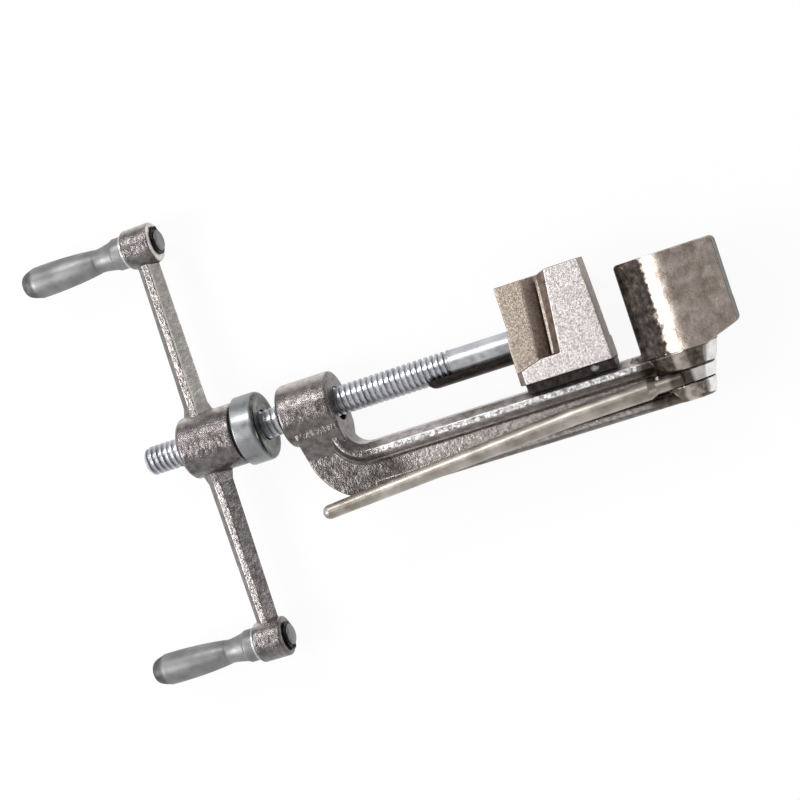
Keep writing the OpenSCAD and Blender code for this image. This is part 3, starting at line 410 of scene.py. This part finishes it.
# moulded nitrile rubber is matt and nearly black, with no metal in it
rubber, rubberTree, rubberShader = newMaterial("nitrileSealRubber", 0.6, 0.0)
rubberTint = mottled(rubberTree, ownPlace(rubberTree), "#101010", "#1E1E1E", 2)
rubberTree.links.new(rubberTint.outputs[0], rubberShader.inputs["Base Color"])

nodeFinish = {
    "frame_casting": frameCasting, "crank_casting": crankCasting,
    "tension_screw": zincSteel, "slider_block": sliderCasting, "shank_cradle": darkSteelAndShade,
    "screw_pin": darkSteelAndShade, "rail_keeper": darkSteelAndShade, "keeper_rivet": zincSteel,
    "bearing_shell": cupSteel, "bearing_seal": rubber, "front_race": bearingSteel,
    "rear_race": bearingSteel, "ball_cage": bearingSteel, "upper_grip": gripSteel,
    "upper_washer": zincSteel, "upper_ring": blackSteel, "lower_grip": gripSteel,
    "lower_washer": zincSteel, "lower_ring": blackSteel, "rotary_cutter": darkSteelAndShade,
    "cutter_lever": leverSteel, "lever_pin": darkSteelAndShade, "cutter_ring": blackSteel}
for nodeName, finish in nodeFinish.items():
    nodes[nodeName].data.materials.clear()
    nodes[nodeName].data.materials.append(finish)
print("materials on", len(nodeFinish), "nodes")


castings = [
    {"node": "frame_casting", "piece": "castFrame", "voxel": 0.5, "smooth": 4, "keep": 160000,
     "body": "frame", "slot": "plated_casting", "finish": frameCasting,
     "roll": {"radius": 24, "steepest": 0.6, "edge": 8.5, "axisX": 151.28,
              "fromY": -28.8}},
    {"node": "crank_casting", "piece": "castCrank", "voxel": 0.36, "smooth": 3, "keep": 150000,
     "body": "crank", "slot": "crank_casting", "finish": crankCasting},
    {"node": "slider_block", "piece": "castSlider", "voxel": 0.36, "smooth": 8, "keep": 110000,
     "body": "screw_slider", "slot": "plated_casting", "finish": sliderCasting,
     "draft": {"from": baseY, "angle": 3.9, "upright": 2.0, "still": 26}}]


# moves the points of a mesh by a rule that takes them as rows of x, y, z and gives them back
def movePoints(mesh, rule, s):
    points = np.empty(len(mesh.vertices) * 3)
    mesh.vertices.foreach_get("co", points)
    mesh.vertices.foreach_set("co", rule(points.reshape(-1, 3), s).ravel())
    mesh.update()


# the nose end of the slider lies on one drafted plane, x = highest x - (y - base) tan(angle),
# and leans less than the solid's: what lies beyond still is moved back by up to upright mm,
# in proportion to how far right and how far down it is
def draftEnd(points, s):
    x, above = points[:, 0], points[:, 1] - s["from"]
    x = np.minimum(x, sliderHigh.x - above * np.tan(np.radians(s["angle"])))
    start = sliderLow.x + s["still"] * mm
    share = np.clip((x - start) / (sliderHigh.x - start), 0, 1)
    down = np.clip(1 - above / (sliderHigh.y - s["from"]), 0, 1) * (above > 0)
    points[:, 0] = x - share * down * s["upright"] * mm
    return points


# rolls the front face of the nose over towards the column: short of the edge of the flat by
# u, it lies u^2 / (2 radius) below the top, and once that slopes by steepest it runs straight
def rollFace(points, s):
    radius = s["radius"] * mm
    reach = s["steepest"] * radius
    short = np.maximum((s["axisX"] + s["edge"]) * mm - points[:, 0], 0)
    curved = np.minimum(short, reach)
    limit = frameHigh.z - curved ** 2 / (2 * radius) - s["steepest"] * (short - curved)
    rolled = (points[:, 0] > noseX) & (points[:, 1] > s["fromY"] * mm) & (points[:, 2] > limit)
    points[:, 2] = np.where(rolled, limit, points[:, 2])
    return points


# a merged copy of a solid, remeshed so that its edges round over as a casting's do, and
# then thinned to about keep triangles, most of them where the shape turns
def castCopy(s):
    work = bpy.data.objects.new("work", nodes[s["node"]].data.copy())
    bpy.context.scene.collection.objects.link(work)
    work.modifiers.new("weld", "WELD").merge_threshold = weldReach
    remesh = work.modifiers.new("remesh", "REMESH")
    remesh.mode = "VOXEL"
    remesh.voxel_size = s["voxel"] * mm
    soft = work.modifiers.new("soft", "SMOOTH")
    soft.factor = 0.5
    soft.iterations = s["smooth"]
    bpy.context.view_layer.update()
    dense = work.evaluated_get(bpy.context.evaluated_depsgraph_get()).data.polygons
    thin = work.modifiers.new("thin", "DECIMATE")
    thin.ratio = min(1.0, s["keep"] / (2 * len(dense)))
    mesh = finishedMesh(work)
    if "draft" in s:
        movePoints(mesh, draftEnd, s["draft"])
    if "roll" in s:
        movePoints(mesh, rollFace, s["roll"])
    meshPiece(s, mesh, s["finish"])


for casting in castings:
    castCopy(casting)
print("castings ready")


# corners of the grip from its tip: distance, radius and how far the corner is rounded
gripSizes = {"slot": "grip_steel", "barrelRadius": 8.9, "waistRadius": 6.65, "crease": 45.3,
             "swell": 31.65, "taper": 8.5, "collarFace": 63.5, "collarRadius": 9.1,
             "collarWidth": 5.4, "shoulder": 6.6, "waistEnd": 14, "spindleRadius": 5.8,
             "groove": 0.6, "ringWidth": 1.2, "spindleEnd": 1.6, "chamfer": 0.8,
             "barrelGap": 0.6, "creaseRise": 0.3,
             "tip": [(0, 0.4, 0), (0, 4.6, 1.2), (1.3, 6.3, 1.0), (3.6, 7.45, 1.4)]}


# a grip's half profile: rounded tip, a barrel on a circle of radius bow, where
# radius = barrel radius - bow + root(bow^2 - distance from the widest place^2), and then
# crease, waist, collar and spindle
def gripProfile(s, reach):
    rise = s["barrelRadius"] - s["waistRadius"] - s["creaseRise"]
    bow = (s["swell"] ** 2 + rise ** 2) / (2 * rise)
    widest = s["crease"] - s["swell"]
    along = np.linspace(s["taper"] + s["barrelGap"], s["crease"] - s["barrelGap"], 18)
    swollen = s["barrelRadius"] - bow + np.sqrt(bow ** 2 - (along - widest) ** 2)
    barrel = np.stack([along, swollen], -1)
    tip = roundedProfile(s["tip"] + [(s["taper"], barrel[0, 1], 0)])
    face, waist, collar = s["collarFace"], s["waistRadius"], s["collarRadius"]
    ringEnd = reach - s["spindleEnd"]
    ringStart = ringEnd - s["ringWidth"]
    low, deep = s["spindleRadius"], s["spindleRadius"] - s["groove"]
    rest = roundedProfile([(s["crease"], barrel[-1, 1] - 0.1, 0), (s["crease"] + 0.9, waist, 0.7),
                           (face - s["waistEnd"], waist + 0.05, 3),
                           (face - s["shoulder"], collar - 0.9, 2.2),
                           (face - s["collarWidth"], collar, 0.5), (face, collar, 0.4),
                           (face, low, 0.1), (ringStart, low, 0.1),
                           (ringStart, deep, 0.1), (ringEnd, deep, 0.1),
                           (ringEnd, low, 0.1), (reach - s["chamfer"], low, 0.3),
                           (reach, low - s["chamfer"], 0.2), (reach, 0.4, 0)], 5)
    return np.concatenate([tip, barrel, rest])


for side in ("upper", "lower"):
    low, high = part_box(side + "_grip")
    profile = gripProfile(gripSizes, (high.x - low.x) / mm) * mm + np.array([low.x, 0])
    sizes = {**gripSizes, "piece": side + "TurnedGrip", "body": side + "_grip",
             "node": side + "_grip"}
    turned = turnedSolid(profile, (low.y + high.y) / 2, (low.z + high.z) / 2)
    meshPiece(sizes, meshFrom(*turned), gripSteel)


cupSizes = {"piece": "bearingCup", "body": "thrust_carriage", "slot": "zinc_steel",
            "node": "bearing_shell", "skirt": 1.1, "skirtRadius": 18.42, "raceRadius": 16.93,
            "boreRadius": 8.6, "faceThickness": 1.6, "dish": 0.6, "dishEdge": 4.4,
            "dishSlope": 2.0, "edgeRound": 3.4}


# the pressed cup's section, as a loop: the outside from its open end to the dished face,
# and back along the inside. Its skirt hangs over the seal
def cupLoop(s, width, radius):
    face = width - s["faceThickness"]
    outside = roundedProfile([(-s["skirt"], s["skirtRadius"], 0), (-s["skirt"], radius, 0.7),
                              (width, radius, s["edgeRound"]),
                              (width, radius - s["dishEdge"], 1.2),
                              (width - s["dish"], radius - s["dishEdge"] - s["dishSlope"], 1.5),
                              (width - s["dish"], s["boreRadius"], 0.3),
                              (face, s["boreRadius"], 0)], 8)
    inside = [(face, s["raceRadius"]), (0, s["raceRadius"]), (0, s["skirtRadius"])]
    return np.concatenate([outside, inside])


low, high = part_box("bearing_shell")
loop = cupLoop(cupSizes, (high.x - low.x) / mm, (high.z - low.z) / 2 / mm) * mm
loop = loop + np.array([low.x, 0])
meshPiece(cupSizes, meshFrom(*turnedRing(loop, 0, (low.z + high.z) / 2)), cupSteel)


screwSizes = {"piece": "pullingScrew", "body": "screw_slider", "slot": "zinc_steel",
              "node": "tension_screw", "pitch": 3.175, "rootRadius": 6.45, "crest": 0.36,
              "root": 0.36, "threaded": 182, "runOut": 2.5, "shankRadius": 7.7,
              "endRadius": 6.2, "steps": 64, "lip": 0.05, "weld": 0.004,
              "leastArea": 1e-12}


# radius of the trapezoid thread against the distance within one pitch:
# crest, straight flank, root, straight flank
def threadRadius(along, s, crestRadius):
    flank = (1 - s["crest"] - s["root"]) / 2
    return np.interp(np.mod(along / s["pitch"], 1.0),
                     [0, s["crest"], s["crest"] + flank, 1 - flank, 1],
                     [crestRadius, crestRadius, s["rootRadius"], s["rootRadius"], crestRadius])


# rows of the grid lie on the thread's corners and climb one pitch each turn:
# x = row + pitch * turn / (2 pi), so the last column meets the first one turn further on
def screwMesh(s):
    low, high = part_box(s["node"])
    axisZ, length = (low.z + high.z) / 2, (high.x - low.x) / mm
    crestRadius = (high.z - low.z) / 2 / mm
    flank = (1 - s["crest"] - s["root"]) / 2
    lip = s["lip"]
    corners = np.array([0, lip, s["crest"] / 2, s["crest"] - lip, s["crest"],
                        s["crest"] + flank, s["crest"] + flank + lip, 1 - flank - lip,
                        1 - flank, 1 - flank / 2]) * s["pitch"]
    turns = int(np.ceil(s["threaded"] / s["pitch"])) + 2
    rows = (np.arange(-1, turns)[:, None] * s["pitch"] + corners).ravel()
    turn = np.linspace(0, 2 * np.pi, s["steps"], endpoint=False)
    x = rows[:, None] + s["pitch"] * turn[None, :] / (2 * np.pi)
    radius = np.broadcast_to(threadRadius(rows, s, crestRadius)[:, None], x.shape).copy()
    x = np.clip(x, 0, s["threaded"])
    radius = np.minimum(radius, s["endRadius"] + x)
    fade = s["shankRadius"] * np.clip((x - s["threaded"] + s["runOut"]) / s["runOut"], 0, 1)
    radius = np.where(x >= s["threaded"], s["shankRadius"], np.maximum(radius, fade))
    flat = np.stack([low.x + x * mm, radius * mm * np.cos(turn),
                     axisZ + radius * mm * np.sin(turn)], -1).reshape(-1, 3)
    faces = gridFaces(len(rows), s["steps"], len(corners))
    span = flat[faces]
    area = np.linalg.norm(np.cross(span[:, 2] - span[:, 0], span[:, 3] - span[:, 1]), axis=1)
    faces = faces[area > s["leastArea"]].tolist()
    shank, shankFaces = turnedSolid([(low.x + s["threaded"] * mm, s["shankRadius"] * mm),
                                     (low.x + length * mm, s["shankRadius"] * mm)],
                                    0, axisZ, s["steps"])
    points = np.concatenate([flat, shank.reshape(-1, 3)])
    faces += [[v + len(flat) for v in f] for f in shankFaces[1:]]
    work = bpy.data.objects.new("work", meshFrom(points, faces))
    bpy.context.scene.collection.objects.link(work)
    work.modifiers.new("weld", "WELD").merge_threshold = s["weld"] * mm
    return finishedMesh(work)


meshPiece(screwSizes, screwMesh(screwSizes), zincSteel, smooth=False)


cameraSizes = {"side": 15.96, "over": 2.0, "roll": 17.78, "distance": 1.0499,
               "target": (0.00025, -0.0096, 0.0193), "lens": 88.35, "sensor": 36,
               "clip": 0.01}


# looks at the target from side and over degrees off straight above, then rolled
def addCamera(s):
    side, over, roll = np.radians([s["side"], s["over"], s["roll"]])
    back = np.array([np.sin(side) * np.cos(over), np.sin(over), np.cos(side) * np.cos(over)])
    level = np.array([1, 0, 0]) - back[0] * back
    level /= np.linalg.norm(level)
    up = np.cross(back, level)
    right = np.cos(roll) * level - np.sin(roll) * up
    top = np.sin(roll) * level + np.cos(roll) * up
    data = bpy.data.cameras.new("studioCamera")
    data.lens = s["lens"]
    data.sensor_width = s["sensor"]
    data.clip_start = s["clip"]
    camera = bpy.data.objects.new("studioCamera", data)
    bpy.context.scene.collection.objects.link(camera)
    turnMatrix = Matrix((right, top, back)).transposed().to_4x4()
    place = Vector(s["target"]) + Vector(back) * s["distance"]
    camera.matrix_world = Matrix.Translation(place) @ turnMatrix
    bpy.context.scene.camera = camera


addCamera(cameraSizes)


# a pale floor under a tent: its roof is dark straight above and bright lower down, and
# brighter on the left, so that flat faces look deeper than the slopes beside them
studio = {"floor": "#F6F6F6", "floorSize": 6.0, "floorGlow": 0.93, "glossyShare": 0.9,
          "roof": 0.4, "wall": 0.9, "roofEdge": 0.93, "wallEdge": 0.74, "dimSide": 0.45,
          "leftEdge": -0.7, "rightEdge": 0.9}
lamps = [
    {"name": "leftSoft", "place": (-0.94, -0.05, 0.9), "size": 0.6, "power": 9},
    {"name": "overheadSoft", "place": (-0.38, 0.92, 0.88), "size": 0.3, "power": 4.8},
    {"name": "rightSoft", "place": (1.2, -0.5, 0.8), "size": 0.6, "power": 3}]


# the camera and shiny metal see the floor as white, and the object's shadow on it stays;
# past the floor's edge the camera sees white as well
def addStudio(s, lampList):
    half = s["floorSize"] / 2
    corners = np.array([(-half, -half, 0), (half, -half, 0), (half, half, 0), (-half, half, 0)])
    floor = bpy.data.objects.new("floor", meshFrom(corners, [(0, 1, 2, 3)]))
    bpy.context.scene.collection.objects.link(floor)
    material, tree, shader = newMaterial("paleFloor", 0.8, 0.0, s["floor"])
    rays = addNode(tree, "LightPath").outputs
    glossy = addNode(tree, "Math", {0: rays["Is Glossy Ray"], 1: s["glossyShare"]},
                     operation="MULTIPLY")
    seen = addNode(tree, "Math", {0: rays["Is Camera Ray"], 1: glossy}, operation="MAXIMUM")
    share = addNode(tree, "Math", {0: seen, 1: s["floorGlow"]}, operation="MULTIPLY")
    glow = addNode(tree, "Emission", {"Color": (1, 1, 1, 1), "Strength": 1.0})
    both = addNode(tree, "MixShader", {0: share, 1: shader, 2: glow})
    tree.links.new(both.outputs[0], tree.nodes["Material Output"].inputs["Surface"])
    floor.data.materials.append(material)
    for lamp in lampList:
        data = bpy.data.lights.new(lamp["name"], "AREA")
        data.size = lamp["size"]
        data.energy = lamp["power"]
        light = bpy.data.objects.new(lamp["name"], data)
        bpy.context.scene.collection.objects.link(light)
        light.location = lamp["place"]
        light.rotation_euler = (-Vector(lamp["place"])).to_track_quat("-Z", "Y").to_euler()
    world = bpy.data.worlds.new("studioTent")
    bpy.context.scene.world = world
    world.use_nodes = True
    tree = world.node_tree
    way = addNode(tree, "SeparateXYZ", {
        "Vector": addNode(tree, "TexCoord").outputs["Generated"]}).outputs
    level = addNode(tree, "MapRange", {"Value": way[2], "From Min": s["wallEdge"],
                                       "From Max": s["roofEdge"], "To Min": s["wall"],
                                       "To Max": s["roof"]}, interpolation_type="SMOOTHSTEP")
    sideways = addNode(tree, "MapRange", {"Value": way[0], "From Min": s["leftEdge"],
                                          "From Max": s["rightEdge"], "To Min": 1.0,
                                          "To Max": s["dimSide"]})
    tent = addNode(tree, "Math", {0: level, 1: sideways}, operation="MULTIPLY")
    seen = addNode(tree, "LightPath").outputs["Is Camera Ray"]
    strength = addNode(tree, "Math", {0: tent, 1: seen}, operation="MAXIMUM")
    tree.links.new(strength.outputs[0], tree.nodes["Background"].inputs["Strength"])
    tree.nodes["Background"].inputs["Color"].default_value = (1, 1, 1, 1)
    bpy.context.scene.view_settings.view_transform = "Standard"


addStudio(studio, lamps)
print("studio ready")
